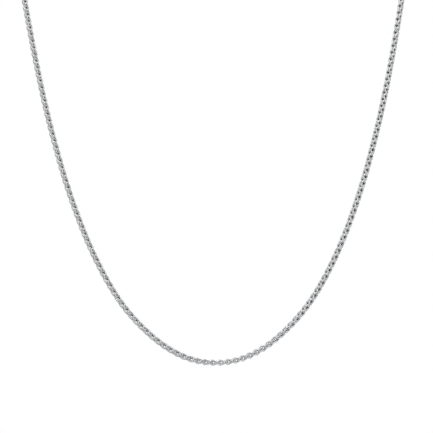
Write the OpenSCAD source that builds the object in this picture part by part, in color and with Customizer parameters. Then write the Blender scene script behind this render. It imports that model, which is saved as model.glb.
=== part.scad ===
// Wheat chain necklace: a fine chain in its hanging form, with two end rings and a spring-ring clasp.
// The origin is at the nape, on the clasp's neck side. X runs across the neck, Y to its back and Z up.

/* [Chain] */
// Width across the chain
chain_w = 1.5; // [1.2:0.05:2]

/* [End rings] */
// Outer diameter of each end ring
ring_outer = 3.2; // [3:0.05:3.6]
// Wire diameter of each end ring
ring_wire = 0.6; // [0.5:0.05:0.65]

/* [Clasp] */
// Outer diameter of the spring ring
clasp_outer = 6; // [5.6:0.1:7]
// Diameter of the tube that the spring ring is bent from
clasp_tube = 1.3; // [1.1:0.05:1.35]
// Outer diameter of the soldered eye
eye_outer = 2.3; // [2.2:0.05:2.6]
// Wire diameter of the soldered eye
eye_wire = 0.6; // [0.5:0.05:0.65]
// Diameter of the thumb nub
nub_d = 0.7; // [0.5:0.05:0.9]
// Height of the thumb nub above the spring ring
nub_h = 0.7; // [0.4:0.05:1.2]
// Angle of the thumb nub, from the side away from the eye
nub_angle = 50; // [30:5:120]

/* [Fit] */
// Gap left where two pieces hook into each other
hook_gap = 0.2; // [0.15:0.01:0.25]
// Gap between each end of the chain and its end ring
end_gap = 0.3; // [0.2:0.05:0.4]
// Depth that the eye's solder sinks into the spring ring
solder_sink = 0.1; // [0.05:0.01:0.15]

/* [Hidden] */

silver = [0.80, 0.80, 0.79];
chain_sides = 8;    // sides of the chain's tube
least_steps = 2;    // steps of the tube between two points of the route, at least
max_step = 8.5;     // longest step of the tube, so that it has about 80 sections
round_fn = 48;

// Route of the chain's right half, from the lowest point at the front up and round to the nape.
// The front is a hanging curve in a plane that leans back as the chest does.
CHAIN_ROUTE = [
    [ 0, -106,   -131  ],
    [ 8, -105.5, -129.5],
    [16, -104.5, -124.5],
    [24, -102,   -116  ],
    [31,  -99,   -104  ],
    [37,  -95,    -89.5],
    [42,  -90.5,  -73.5],
    [46,  -86,    -57.5],
    [50,  -81,    -38  ],
    [53,  -75.5,  -21  ],
    [55.5, -65.5,  -9  ],
    [56,  -50,     -4  ],
    [52,  -32,     -2  ],
    [42,  -16,     -1  ],
    [28,   -5.5,   -0.5],
    [13,   -0.5,    0  ]
];

// Radii from the centre of each ring or tube to the centre of its wire
ring_major = (ring_outer - ring_wire) / 2;
clasp_major = (clasp_outer - clasp_tube) / 2;
eye_major = (eye_outer - eye_wire) / 2;

// Places along X, measured from the centre of the spring ring
clasp_hole_r = clasp_outer / 2 - clasp_tube;
eye_hole_r = eye_outer / 2 - eye_wire;
eye_x = -(clasp_outer / 2 + eye_hole_r - solder_sink);
left_ring_x = eye_x - eye_hole_r + hook_gap + ring_wire / 2 - ring_major;
right_ring_x = clasp_hole_r - hook_gap - ring_wire / 2 + ring_major;

// The fastening is centred at the nape, between the far wires of the two end rings
half_span = (right_ring_x - left_ring_x) / 2 + ring_major;
clasp_x = -(right_ring_x + left_ring_x) / 2;
fastening_y = clasp_tube / 2;
chain_end_x = half_span + ring_wire / 2 + end_gap;

// The whole route, from the right end of the chain down round the front to the left end
chain_end = [chain_end_x, fastening_y, 0];
last = len(CHAIN_ROUTE) - 1;
route = concat(
    [chain_end],
    [for (i = [last : -1 : 0]) CHAIN_ROUTE[i]],
    [for (i = [1 : last]) mirror_x(CHAIN_ROUTE[i])],
    [mirror_x(chain_end)]
);

function mirror_x(p) = [-p.x, p.y, p.z];

// Point i of the route, carried on in a straight line past both ends
function route_point(i) =
    i < 0 ? 2 * route[0] - route[1]
    : i > len(route) - 1 ? 2 * route[len(route) - 1] - route[len(route) - 2]
    : route[i];

// Smooth curve through the route's points: its place and its direction at share t of span i
function curve_place(i, t) =
    let (a = route_point(i - 1), b = route_point(i), c = route_point(i + 1), d = route_point(i + 2))
    0.5 * (2 * b + (c - a) * t + (2 * a - 5 * b + 4 * c - d) * t * t + (3 * b - a - 3 * c + d) * t * t * t);

function curve_direction(i, t) =
    let (a = route_point(i - 1), b = route_point(i), c = route_point(i + 1), d = route_point(i + 2))
    (c - a) + 2 * (2 * a - 5 * b + 4 * c - d) * t + 3 * (3 * b - a - 3 * c + d) * t * t;

function unit(v) = v / norm(v);

// A direction that the chain never runs along, so that its sections never spin
side_guide = unit([0, -0.57, 0.82]);

function tube_section(i, t, radius) =
    let (
        place = curve_place(i, t),
        along = unit(curve_direction(i, t)),
        across = unit(cross(along, side_guide)),
        up = cross(across, along)
    )
    [for (k = [0 : chain_sides - 1])
        let (angle = 360 * (k + 0.5) / chain_sides)
        place + radius * (cos(angle) * across + sin(angle) * up)];

function span_steps(i) = max(least_steps, ceil(norm(route[i + 1] - route[i]) / max_step));

module chain() {
    // Flats lie at half the chain's width
    radius = chain_w / 2 / cos(180 / chain_sides);
    spans = len(route) - 1;
    sections = concat(
        [for (i = [0 : spans - 1], step = [0 : span_steps(i) - 1])
            tube_section(i, step / span_steps(i), radius)],
        [tube_section(spans - 1, 1, radius)]
    );
    count = len(sections);
    points = [for (section = sections, point = section) point];
    walls = [for (j = [0 : count - 2], k = [0 : chain_sides - 1], half = [0, 1])
        let (
            next = (k + 1) % chain_sides,
            a = j * chain_sides + k,
            b = j * chain_sides + next,
            c = (j + 1) * chain_sides + next,
            d = (j + 1) * chain_sides + k
        )
        half == 0 ? [a, b, c] : [a, c, d]];
    first_cap = [for (k = [chain_sides - 1 : -1 : 0]) k];
    last_cap = [for (k = [0 : chain_sides - 1]) (count - 1) * chain_sides + k];
    color(silver)
        polyhedron(points = points, faces = concat([first_cap], walls, [last_cap]));
}

// A closed round wire or tube, flat in X and Y
module wire_ring(major, wire_d) {
    rotate_extrude($fn = round_fn)
        translate([major, 0])
            circle(d = wire_d, $fn = round_fn);
}

module end_ring(ring_x) {
    color(silver)
        translate([clasp_x + ring_x, fastening_y, 0])
            wire_ring(ring_major, ring_wire);
}

module clasp() {
    color(silver)
        translate([clasp_x, fastening_y, 0])
            rotate([90, 0, 0]) {
                wire_ring(clasp_major, clasp_tube);
                translate([eye_x, 0, 0])
                    wire_ring(eye_major, eye_wire);
                rotate([0, 0, nub_angle])
                    translate([clasp_major, 0, 0])
                        rotate([0, 90, 0])
                            cylinder(d = nub_d, h = clasp_tube / 2 + nub_h, $fn = round_fn);
            }
}

chain();
end_ring(left_ring_x);  // end_ring_left
end_ring(right_ring_x);  // end_ring_right
clasp();
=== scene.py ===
import math

import bpy
import numpy as np
from mathutils import Matrix, Vector


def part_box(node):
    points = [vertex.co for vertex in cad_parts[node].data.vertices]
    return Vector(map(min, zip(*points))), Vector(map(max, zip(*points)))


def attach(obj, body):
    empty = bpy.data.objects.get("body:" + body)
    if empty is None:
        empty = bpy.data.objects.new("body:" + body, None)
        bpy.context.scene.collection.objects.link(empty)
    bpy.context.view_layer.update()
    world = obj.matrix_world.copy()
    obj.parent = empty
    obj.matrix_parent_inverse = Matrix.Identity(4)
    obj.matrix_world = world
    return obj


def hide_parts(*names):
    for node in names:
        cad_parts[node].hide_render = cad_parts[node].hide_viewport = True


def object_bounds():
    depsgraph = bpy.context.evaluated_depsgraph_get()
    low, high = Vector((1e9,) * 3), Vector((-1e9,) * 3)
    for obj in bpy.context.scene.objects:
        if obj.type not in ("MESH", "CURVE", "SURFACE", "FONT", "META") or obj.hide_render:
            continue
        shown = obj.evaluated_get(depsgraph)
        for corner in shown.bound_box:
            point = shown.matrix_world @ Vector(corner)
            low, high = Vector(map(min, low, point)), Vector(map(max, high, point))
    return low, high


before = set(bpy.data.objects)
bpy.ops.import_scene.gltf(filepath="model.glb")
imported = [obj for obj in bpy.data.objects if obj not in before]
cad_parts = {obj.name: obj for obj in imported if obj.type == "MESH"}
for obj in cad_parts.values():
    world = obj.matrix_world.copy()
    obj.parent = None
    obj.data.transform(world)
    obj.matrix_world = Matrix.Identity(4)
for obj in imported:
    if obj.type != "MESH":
        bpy.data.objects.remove(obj)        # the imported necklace: tube, two end rings and clasp
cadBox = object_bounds()
mm = 0.001
print("frame loaded")

camera = {
    "distance": 0.420,        # from the chain's lowest point
    "height": -0.09422,       # level view, from 37 mm above that point
    "sideways": 0.00035,
    "lens": 138.8,
    "sensor": 36,
    "nearest": 0.01,          # anything nearer isn't drawn
    "roll": -0.49,            # degrees: the picture hangs a hair off level
}


def setCamera(lowestPoint):
    data = bpy.data.cameras.new("photoView")
    data.lens = camera["lens"]
    data.sensor_width = camera["sensor"]
    data.clip_start = camera["nearest"]
    seen = bpy.data.objects.new("photoView", data)
    bpy.context.scene.collection.objects.link(seen)
    seen.location = (camera["sideways"], lowestPoint[1] - camera["distance"], camera["height"])
    level = Matrix.Rotation(math.radians(90), 3, "X")
    rolled = level @ Matrix.Rotation(math.radians(camera["roll"]), 3, "Z")
    seen.rotation_euler = rolled.to_euler()
    bpy.context.scene.camera = seen


# The route of the chain's right half in metres, from the front's lowest point up to the nape
routeHalf = [
    (0, -0.106, -0.131),
    (0.008, -0.1055, -0.1295),
    (0.016, -0.1045, -0.1245),
    (0.024, -0.102, -0.116),
    (0.031, -0.099, -0.104),
    (0.037, -0.095, -0.0895),
    (0.042, -0.0905, -0.0735),
    (0.046, -0.086, -0.0575),
    (0.050, -0.081, -0.038),
    (0.053, -0.0755, -0.021),
    (0.0555, -0.0655, -0.009),
    (0.056, -0.050, -0.004),
    (0.052, -0.032, -0.002),
    (0.042, -0.016, -0.001),
    (0.028, -0.0055, -0.0005),
    (0.013, -0.0005, 0),
]

setCamera(routeHalf[0])
print("camera set")

wheatChain = {
    "wire": 0.275 * mm,         # thickness of each link's wire
    "pitch": 0.95 * mm,         # from one link to the next; each sits a quarter turn round
    "endGap": 0.3 * mm,         # between the plain tube and the end rings, as in the source
    "past": 1.0 * mm,           # how far the path runs on past the middle of each end ring's wire
    "hook": 0.52 * mm,          # from the first link's fold to the middle of the left ring's wire
    "reach": 2.12 * mm,         # from the last link's fold to the middle of the right ring's wire
    "lastWider": 0.2,           # the last link's loops are opened for that thicker wire,
    "lastLonger": 0.3 * mm,
    "openFrom": 1.0 * mm,       # from here along the link
    "openOver": 1.2 * mm,       # to this much further
    "aroundWire": 10,           # facets round a wire
    "alongWire": 60,            # facets along a link
    "spanSteps": 48,            # steps of the path between two points of the route
    "frontShare": 0.25,         # share of the path, each way from its middle, that hangs in front
    "neckBlend": 0.08,          # share more, over which it goes over to lying round the neck
    # A quarter of a link before it is pressed tight, in millimetres: out from the chain's middle,
    # to the side, along. A long ring is folded in two, so that its ends stand side by side as two
    # loops. This goes from the middle of the fold up one side to the top of one loop, and the
    # other three quarters are its mirror images.
    "looseQuarter": [
        (0, 0.14, 0),
        (0.36, 0.14, 0.03),
        (0.62, 0.16, 0.26),
        (0.62, 0.28, 0.61),
        (0.55, 0.46, 0.94),
        (0.38, 0.52, 1.28),
        (0.18, 0.50, 1.61),
        (0.14, 0.50, 2.00),
        (0.14, 0, 2.24),
    ],
    # How it is pressed, with its lengths in millimetres
    "press": {
        "points": 120,          # on a link's wire
        "steps": 900,
        "wireLength": 13.4,     # the wire is drawn towards this length,
        "lengthBand": 0.3,      # at full tension when it is this much too long
        "letOut": 0.3,          # share of the tension, at most, that lengthens too short a wire
        "tension": 0.25,        # share of the way to its neighbours' middle that a point goes
        "tensionLost": 0.23,    # taken off that by the last step
        "slide": 0.25,          # the same along the wire: keeps the points evenly spread
        "stiffness": 0.12,      # how hard the wire evens out its bends
        "push": 0.5,            # share of an overlap that one step takes away
        "spacing": 0.29,        # least distance between the middles of two wires
        "ownLength": 2.7,       # spacings along a wire within which it doesn't push itself
        "tooFar": 9,            # stands for a gap that isn't looked at
        "middleLimit": 0.665,   # no wire's middle goes further out than this
    },
    # How far the chain is turned about itself: shares of its length from the left end, degrees
    "turn": [
        (0.00, 0),
        (0.04, 0),
        (0.27, -25),
        (0.475, -28),
        (0.51, -2),
        (0.56, 30),
        (0.63, 30),
        (0.74, 60),
        (0.96, 90),
        (1.00, 90),
    ],
}


def smoothRoute(points):
    points = np.array(points, float)
    # both ends leave their rings along X
    before = points[1] * [-1, 1, 1] + points[0] * [2, 0, 0]
    after = points[-2] * [-1, 1, 1] + points[-1] * [2, 0, 0]
    walk = np.vstack([before, points, after])
    t = np.linspace(0, 1, wheatChain["spanSteps"], endpoint=False)[:, None]
    places = []
    for a, b, c, d in zip(walk, walk[1:], walk[2:], walk[3:]):
        bend = 2 * a - 5 * b + 4 * c - d
        places.append(0.5 * (2 * b + (c - a) * t + bend * t**2 + (3 * b - a - 3 * c + d) * t**3))
    return np.vstack(places + [points[-1:]])


def unit(v):
    return v / np.linalg.norm(v, axis=-1, keepdims=True)


def ease(share):
    share = np.clip(share, 0, 1)
    return share * share * (3 - 2 * share)


def routeWithFrames(points, extra):
    places = smoothRoute(points)
    # both ends run on straight by extra, into the end rings
    head = places[0] + unit(places[0] - places[1]) * extra
    tail = places[-1] + unit(places[-1] - places[-2]) * extra
    places = np.vstack([head, places, tail])
    along = unit(np.gradient(places, axis=0))
    steps = np.linalg.norm(np.diff(places, axis=0), axis=1)
    distance = np.concatenate([[0], np.cumsum(steps)])
    # turns count from the front where the chain hangs, and from above where it goes round the neck
    fromMiddle = np.abs(distance / distance[-1] - 0.5)
    above = ease((fromMiddle - wheatChain["frontShare"]) / wheatChain["neckBlend"])
    guide = unit(np.stack([0 * above, above - 1, above], -1))
    outward = unit(guide - along * (guide * along).sum(-1, keepdims=True))
    sideways = np.cross(along, outward)
    return distance, places, outward, sideways


def closedCurve(points, count):
    # smooth closed curve through evenly spread points: periodic cubic spline
    n = len(points)
    links = 4 * np.eye(n) + np.roll(np.eye(n), 1, 0) + np.roll(np.eye(n), -1, 0)
    slope = np.linalg.solve(links, 3 * (np.roll(points, -1, 0) - np.roll(points, 1, 0)))
    u = np.arange(count) * n / count
    i = u.astype(int)
    t = (u - i)[:, None]
    p, q = points[i], points[(i + 1) % n]
    m, k = slope[i], slope[(i + 1) % n]
    return (
        (1 + 2 * t) * (1 - t) ** 2 * p
        + t * (1 - t) ** 2 * m
        + t**2 * (3 - 2 * t) * q
        + t**2 * (t - 1) * k
    )


def looseLink(count):
    quarter = np.array(wheatChain["looseQuarter"])
    down = quarter[-2::-1] * [1, -1, 1]
    upAgain = quarter[1:] * [-1, -1, 1]
    home = quarter[-2:0:-1] * [-1, 1, 1]
    return closedCurve(np.vstack([quarter, down, upAgain, home]), count)


def pressedLink():
    # The drawplate's work: the wires of a link and of its neighbours push each other apart while
    # tension draws each one short, inside the chain's own round. Works in millimetres.
    press = wheatChain["press"]
    quarterTurn = np.array([[0, -1, 0], [1, 0, 0], [0, 0, 1]])
    pitch = wheatChain["pitch"] / mm
    count, least = press["points"], press["spacing"]
    wire = looseLink(count)
    at = np.arange(count)
    apart = np.abs(at[:, None] - at)
    apart = np.minimum(apart, count - apart)

    def shove(gaps, ways):
        overlap = np.clip(least - gaps, 0, None) / np.maximum(gaps, 1e-6)
        return press["push"] * overlap[:, None] * ways

    for step in range(press["steps"]):
        length = np.linalg.norm(np.roll(wire, -1, 0) - wire, axis=1).sum()
        tooLong = (length - press["wireLength"]) / press["lengthBand"]
        tension = press["tension"] - press["tensionLost"] * step / press["steps"]
        tension *= np.clip(tooLong, -press["letOut"], 1)
        slack = (np.roll(wire, 1, 0) + np.roll(wire, -1, 0)) / 2 - wire
        stiff = (np.roll(slack, 1, 0) + np.roll(slack, -1, 0)) / 2 - slack
        way = unit(np.roll(wire, -1, 0) - np.roll(wire, 1, 0))
        slide = (slack * way).sum(1)[:, None] * way
        wire = wire + tension * (slack - slide) + press["slide"] * slide - press["stiffness"] * stiff
        pushed = np.zeros_like(wire)
        for number in range(4):       # its own wire and the next three links
            turned = np.linalg.matrix_power(quarterTurn, number)
            other = wire @ turned.T + [0, 0, number * pitch]
            between = wire[:, None] - other
            gap = np.sqrt((between**2).sum(-1))
            if number == 0:
                counts = apart * length / count > press["ownLength"] * least
                gap = np.where(counts, gap, press["tooFar"])
            nearest = gap.argmin(1)
            pushed += shove(gap[at, nearest], between[at, nearest])
            if number:
                nearest = gap.argmin(0)
                pushed -= shove(gap[nearest, at], between[nearest, at]) @ turned
        wire = wire + pushed
        radius = np.hypot(wire[:, 0], wire[:, 1])
        wire[:, :2] *= np.minimum(1, press["middleLimit"] / np.maximum(radius, 1e-6))[:, None]
        # both halves and both sides stay alike
        wire = (wire + np.roll(wire, count // 2, 0) * [-1, -1, 1]) / 2
        wire = (wire + wire[-at % count] * [-1, 1, 1]) / 2
    return wire * mm


def wireAround(curve, wire, sides):
    # rings of vertices round a closed curve, with no seam where it closes
    n = len(curve)
    along = unit(np.roll(curve, -1, 0) - np.roll(curve, 1, 0))
    normal = np.zeros_like(curve)
    normal[0] = unit(np.cross(along[0], [0.3, 0.2, 0.9]))     # any way that the wire doesn't run
    for i in range(1, n):
        carried = normal[i - 1] - along[i] * normal[i - 1].dot(along[i])
        normal[i] = carried / np.linalg.norm(carried)
    closing = normal[-1] - along[0] * normal[-1].dot(along[0])
    side = np.cross(along[0], normal[0])
    twist = math.atan2(closing.dot(side), closing.dot(normal[0]))
    spin = -twist * np.arange(n) / n
    binormal = np.cross(along, normal)
    angles = np.arange(sides) * 2 * math.pi / sides + spin[:, None]
    cos, sin = np.cos(angles)[..., None], np.sin(angles)[..., None]
    offset = (cos * normal[:, None] + sin * binormal[:, None]) * wire / 2
    return (curve[:, None] + offset).reshape(-1, 3)


def wireSkin(curve, wire, sides):
    # a place on the wire's own skin, in millimetres: across, across, along the wire
    steps = np.linalg.norm(np.roll(curve, -1, 0) - curve, axis=1)
    length = np.concatenate([[0], np.cumsum(steps)[:-1]])
    angles = np.arange(sides) * 2 * math.pi / sides
    skin = np.empty((len(curve), sides, 3))
    skin[..., 0] = np.cos(angles) * wire / 2
    skin[..., 1] = np.sin(angles) * wire / 2
    skin[..., 2] = length[:, None]
    return skin.reshape(-1, 3) / mm


def wireFaces(rings, sides):
    i, k = np.meshgrid(np.arange(rings), np.arange(sides), indexing="ij")
    here, ahead = i * sides, (i + 1) % rings * sides
    nextSide = (k + 1) % sides
    corners = [here + k, ahead + k, ahead + nextSide, here + nextSide]
    return np.stack(corners, -1).reshape(-1, 4)


def meshPiece(name, vertices, quads, recess, skin):
    mesh = bpy.data.meshes.new(name)
    mesh.vertices.add(len(vertices))
    mesh.vertices.foreach_set("co", vertices.astype(np.float32).ravel())
    mesh.loops.add(quads.size)
    mesh.loops.foreach_set("vertex_index", quads.astype(np.int32).ravel())
    mesh.polygons.add(len(quads))
    mesh.polygons.foreach_set("loop_start", np.arange(0, quads.size, 4, dtype=np.int32))
    mesh.polygons.foreach_set("use_smooth", np.ones(len(quads), dtype=bool))
    mesh.update(calc_edges=True)
    depth = mesh.attributes.new("recess", "FLOAT", "POINT")
    depth.data.foreach_set("value", recess.astype(np.float32))
    onWire = mesh.attributes.new("wireSkin", "FLOAT_VECTOR", "POINT")
    onWire.data.foreach_set("vector", skin.astype(np.float32).ravel())
    piece = bpy.data.objects.new(name, mesh)
    bpy.context.scene.collection.objects.link(piece)
    return piece


def turnAt(share):
    stops = np.array(wheatChain["turn"], float)
    i = np.clip(np.searchsorted(stops[:, 0], share, side="right") - 1, 0, len(stops) - 2)
    t = (share - stops[i, 0]) / (stops[i + 1, 0] - stops[i, 0])
    return np.radians(stops[i, 1] + (stops[i + 1, 1] - stops[i, 1]) * ease(t))


def makeChain():
    ringLow, ringHigh = (np.array(corner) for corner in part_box("end_ring_right"))
    ringWire = ringHigh[2] - ringLow[2]
    ringMiddleX = ringHigh[0] - ringWire / 2      # middle of the wire that the chain hooks round
    tubeEnd = np.array([ringHigh[0] + wheatChain["endGap"], (ringLow[1] + ringHigh[1]) / 2, 0])
    flip = np.array([-1, 1, 1])
    half = [np.array(p) for p in routeHalf]
    points = [tubeEnd * flip] + [p * flip for p in half[:0:-1]] + half + [tubeEnd]
    extra = tubeEnd[0] - ringMiddleX + wheatChain["past"]
    distance, places, outward, sideways = routeWithFrames(points, extra)
    length = distance[-1]

    first = wheatChain["past"] - wheatChain["hook"]
    last = length - wheatChain["past"] - wheatChain["reach"]
    # even: with the last turn of 90 degrees, the last link's loops come round the right ring's wire
    steps = 2 * round((last - first) / wheatChain["pitch"] / 2)
    pitch = (last - first) / steps
    count = steps + 1

    curve = closedCurve(pressedLink(), wheatChain["alongWire"])
    facets = wheatChain["aroundWire"]
    base = wireAround(curve, wheatChain["wire"], facets)
    faces = wireFaces(len(curve), facets)
    quarterTurned = base[:, [1, 0, 2]] * [-1, 1, 1]
    skin = wireSkin(curve, wheatChain["wire"], facets)
    radius = np.hypot(base[:, 0], base[:, 1])
    recess = 1 - radius / radius.max()            # 0 on the chain's skin, 1 in its middle: the mask of the silver's painted shade

    opened = ease((curve[:, 2] - wheatChain["openFrom"]) / wheatChain["openOver"])[:, None]
    widened = curve * (1 + wheatChain["lastWider"] * opened * [1, 1, 0])
    widened += opened * [0, 0, wheatChain["lastLonger"]]
    lastLink = wireAround(widened, wheatChain["wire"], facets)

    def stretch(name, start, end):
        numbers = np.arange(start, end)
        shape = np.where((numbers % 2 == 0)[:, None, None], base, quarterTurned)
        if end == count:
            shape[-1] = lastLink
        s = shape[..., 2] + first + (numbers * pitch)[:, None]
        turn = turnAt(s / length)
        out = shape[..., 0] * np.cos(turn) - shape[..., 1] * np.sin(turn)
        aside = shape[..., 0] * np.sin(turn) + shape[..., 1] * np.cos(turn)
        middle, outAxis, sideAxis = (
            np.stack([np.interp(s, distance, v[:, c]) for c in range(3)], -1)
            for v in (places, outward, sideways)
        )
        vertices = middle + unit(outAxis) * out[..., None] + unit(sideAxis) * aside[..., None]
        quads = faces + (np.arange(len(numbers)) * len(base))[:, None, None]
        piece = meshPiece(
            name,
            vertices.reshape(-1, 3),
            quads.reshape(-1, 4),
            np.tile(recess, len(numbers)),
            np.tile(skin, (len(numbers), 1)),
        )
        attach(piece, "root")
        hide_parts("chain")
        return piece

    cuts = [0, count // 4, count // 2, 3 * count // 4, count]
    names = ["chainNeckLeft", "chainFrontLeft", "chainFrontRight", "chainNeckRight"]
    made = [stretch(name, a, b) for name, a, b in zip(names, cuts, cuts[1:])]
    wireLength = np.linalg.norm(np.roll(curve, -1, 0) - curve, axis=1).sum()
    print("chain:", count, "links,", round(length / mm, 1), "mm, pitch", round(pitch / mm, 4), "mm,",
          "wire of a link", round(wireLength / mm, 2), "mm")
    return made


chainPieces = makeChain()


def linear(hexColour):
    channels = [int(hexColour[i : i + 2], 16) / 255 for i in (1, 3, 5)]
    curved = [c / 12.92 if c <= 0.04045 else ((c + 0.055) / 1.055) ** 2.4 for c in channels]
    return (*curved, 1.0)


def addNode(tree, kind, links=(), **settings):
    node = tree.nodes.new(kind)
    for key, value in settings.items():
        if key in node.inputs:
            node.inputs[key].default_value = value
        else:
            setattr(node, key, value)
    for source, output, target in links:
        tree.links.new(source.outputs[output], node.inputs[target])
    return node


silver = {
    "bright": "#F2F3F4",      # polished sterling silver: almost white, a touch cool
    "cloudy": "#E3E4E5",      # the thin haze that handling leaves
    "paintedShade": "#8E8F90",      # painted shade between the wires: grey where wire meets wire and little light reaches
    "shadeStart": 0.30,       # share of the way in from the chain's skin to its middle over which the painted shade sets in
    "shadeFull": 0.70,
    "smooth": 0.20,           # roughness of a tumbled skin, at its glossiest and at its dullest
    "dull": 0.34,
    "hazeStart": 0.35,        # values of the haze's noise between which the skin goes dull
    "hazeFull": 0.65,
    "haze": 1.4,              # millimetres across one cloud of haze
    "drawLine": 0.03,         # millimetres; real draw lines are 0.005 apart, too fine to show
    "drawDepth": 0.0012,
    "alongWire": 0.06,        # the lines' noise is stretched along the wire to this scale,
    "alongX": 0.3,            # and less, along X, on the rings and the clasp
}


def sterlingSilver(name, isWire):
    # 925 silver, drawn through a plate and tumbled bright: hard white glints, faint lines along the
    # wire that streak them, and on the wire painted shade: grey gaps where wire meets wire
    material = bpy.data.materials.new(name)
    material.use_nodes = True
    tree = material.node_tree
    shader = tree.nodes["Principled BSDF"]
    shader.inputs["Metallic"].default_value = 1.0
    place = addNode(tree, "ShaderNodeTexCoord")
    inMillimetres = addNode(
        tree, "ShaderNodeVectorMath", [(place, "Object", "Vector")],
        operation="SCALE", Scale=1 / mm,
    )
    if isWire:
        skin = addNode(tree, "ShaderNodeAttribute", attribute_name="wireSkin")
        squeezed = addNode(
            tree, "ShaderNodeMapping", [(skin, "Vector", "Vector")],
            Scale=(1, 1, silver["alongWire"]),
        )
    else:
        squeezed = addNode(
            tree, "ShaderNodeMapping", [(inMillimetres, "Vector", "Vector")],
            Scale=(silver["alongX"], 1, 1),
        )
    lines = addNode(
        tree, "ShaderNodeTexNoise", [(squeezed, "Vector", "Vector")],
        Scale=1 / silver["drawLine"], Detail=2.0, Roughness=0.6,
    )
    clouds = addNode(
        tree, "ShaderNodeTexNoise", [(inMillimetres, "Vector", "Vector")],
        Scale=1 / silver["haze"], Detail=4.0, Roughness=0.55,
    )
    roughness = addNode(tree, "ShaderNodeMapRange", [(clouds, "Fac", "Value")])
    roughness.inputs["From Min"].default_value = silver["hazeStart"]
    roughness.inputs["From Max"].default_value = silver["hazeFull"]
    roughness.inputs["To Min"].default_value = silver["smooth"]
    roughness.inputs["To Max"].default_value = silver["dull"]
    tree.links.new(roughness.outputs["Result"], shader.inputs["Roughness"])
    # a colour mixer's inputs 6 and 7 are its two colours, and its output 2 is their mix
    colour = addNode(tree, "ShaderNodeMix", [(clouds, "Fac", "Factor")], data_type="RGBA")
    colour.inputs[6].default_value = linear(silver["bright"])
    colour.inputs[7].default_value = linear(silver["cloudy"])
    if isWire:
        # painted shade: the wire's colour goes grey the deeper it lies inside the chain
        depth = addNode(tree, "ShaderNodeAttribute", attribute_name="recess")
        shade = addNode(
            tree, "ShaderNodeMapRange", [(depth, "Fac", "Value")],
            interpolation_type="SMOOTHSTEP",
        )
        shade.inputs["From Min"].default_value = silver["shadeStart"]
        shade.inputs["From Max"].default_value = silver["shadeFull"]
        paintedShade = addNode(tree, "ShaderNodeMix", data_type="RGBA")
        tree.links.new(shade.outputs["Result"], paintedShade.inputs[0])
        tree.links.new(colour.outputs[2], paintedShade.inputs[6])
        paintedShade.inputs[7].default_value = linear(silver["paintedShade"])
        colour = paintedShade
    tree.links.new(colour.outputs[2], shader.inputs["Base Color"])
    bump = addNode(
        tree, "ShaderNodeBump", [(lines, "Fac", "Height")],
        Distance=silver["drawDepth"] * mm,
    )
    tree.links.new(bump.outputs["Normal"], shader.inputs["Normal"])
    return material


chainSilver = sterlingSilver("polishedSterlingWire", True)
for piece in chainPieces:
    piece.data.materials.append(chainSilver)
fasteningSilver = sterlingSilver("polishedSterlingFastening", False)
for name in ("end_ring_left", "end_ring_right", "clasp"):
    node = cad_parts[name]
    node.data.materials.clear()
    node.data.materials.append(fasteningSilver)
print("materials set")

studio = {
    "floorDrop": 0.120,       # from the chain's lowest point to the floor
    "floorSize": (1.6, 1.3),
    "floorMiddle": -0.15,
    "paper": "#F4F4F4",
    "paperRoughness": 0.9,
    "backdrop": "#FFFFFF",    # what stands behind the necklace, from every side
    "room": "#7D7F80",        # what the silver mirrors where no light stands
    "softboxes": [
        # name, place, size, brightness (white paper is 1): each one faces the middle of the chain
        ("softboxTop", (0, -0.20, 0.55), (0.7, 0.6), 1.8),
        ("softboxLeft", (-0.75, -0.45, 0.05), (0.5, 0.9), 1.2),
        ("softboxRight", (0.75, -0.45, 0.05), (0.5, 0.9), 1.2),
        ("softboxFront", (0, -0.95, 0.35), (0.9, 0.5), 0.9),
    ],
    "aim": (0, -0.1, -0.07),
}


def makeFloor():
    low = cadBox[0][2] - studio["floorDrop"]
    w, d = (side / 2 for side in studio["floorSize"])
    near, far = studio["floorMiddle"] - d, studio["floorMiddle"] + d
    mesh = bpy.data.meshes.new("paperFloor")
    corners = [(-w, near, low), (w, near, low), (w, far, low), (-w, far, low)]
    mesh.from_pydata(corners, [], [(0, 1, 2, 3)])
    floor = bpy.data.objects.new("paperFloor", mesh)
    bpy.context.scene.collection.objects.link(floor)
    material = bpy.data.materials.new("studioPaper")
    material.use_nodes = True
    shader = material.node_tree.nodes["Principled BSDF"]
    shader.inputs["Base Color"].default_value = linear(studio["paper"])
    shader.inputs["Roughness"].default_value = studio["paperRoughness"]
    mesh.materials.append(material)


def softbox(name, place, size, brightness):
    data = bpy.data.lights.new(name, "AREA")
    data.shape = "RECTANGLE"
    data.size, data.size_y = size
    data.energy = brightness * math.pi * size[0] * size[1]
    box = bpy.data.objects.new(name, data)
    box.location = place
    box.rotation_euler = (Vector(studio["aim"]) - Vector(place)).to_track_quat("-Z", "Y").to_euler()
    bpy.context.scene.collection.objects.link(box)


def makeRoom():
    # a white backdrop all round for the picture, and a grey room for the silver to mirror
    world = bpy.data.worlds.new("studioRoom")
    world.use_nodes = True
    tree = world.node_tree
    room = tree.nodes["Background"]
    room.inputs["Color"].default_value = linear(studio["room"])
    backdrop = addNode(tree, "ShaderNodeBackground", Color=linear(studio["backdrop"]))
    path = addNode(tree, "ShaderNodeLightPath")
    choose = addNode(tree, "ShaderNodeMixShader", [(path, "Is Camera Ray", 0)])
    tree.links.new(room.outputs[0], choose.inputs[1])
    tree.links.new(backdrop.outputs[0], choose.inputs[2])
    tree.links.new(choose.outputs[0], tree.nodes["World Output"].inputs["Surface"])
    bpy.context.scene.world = world
    bpy.context.scene.view_settings.view_transform = "Standard"


makeFloor()
for softboxRow in studio["softboxes"]:
    softbox(*softboxRow)
makeRoom()
print("studio set")
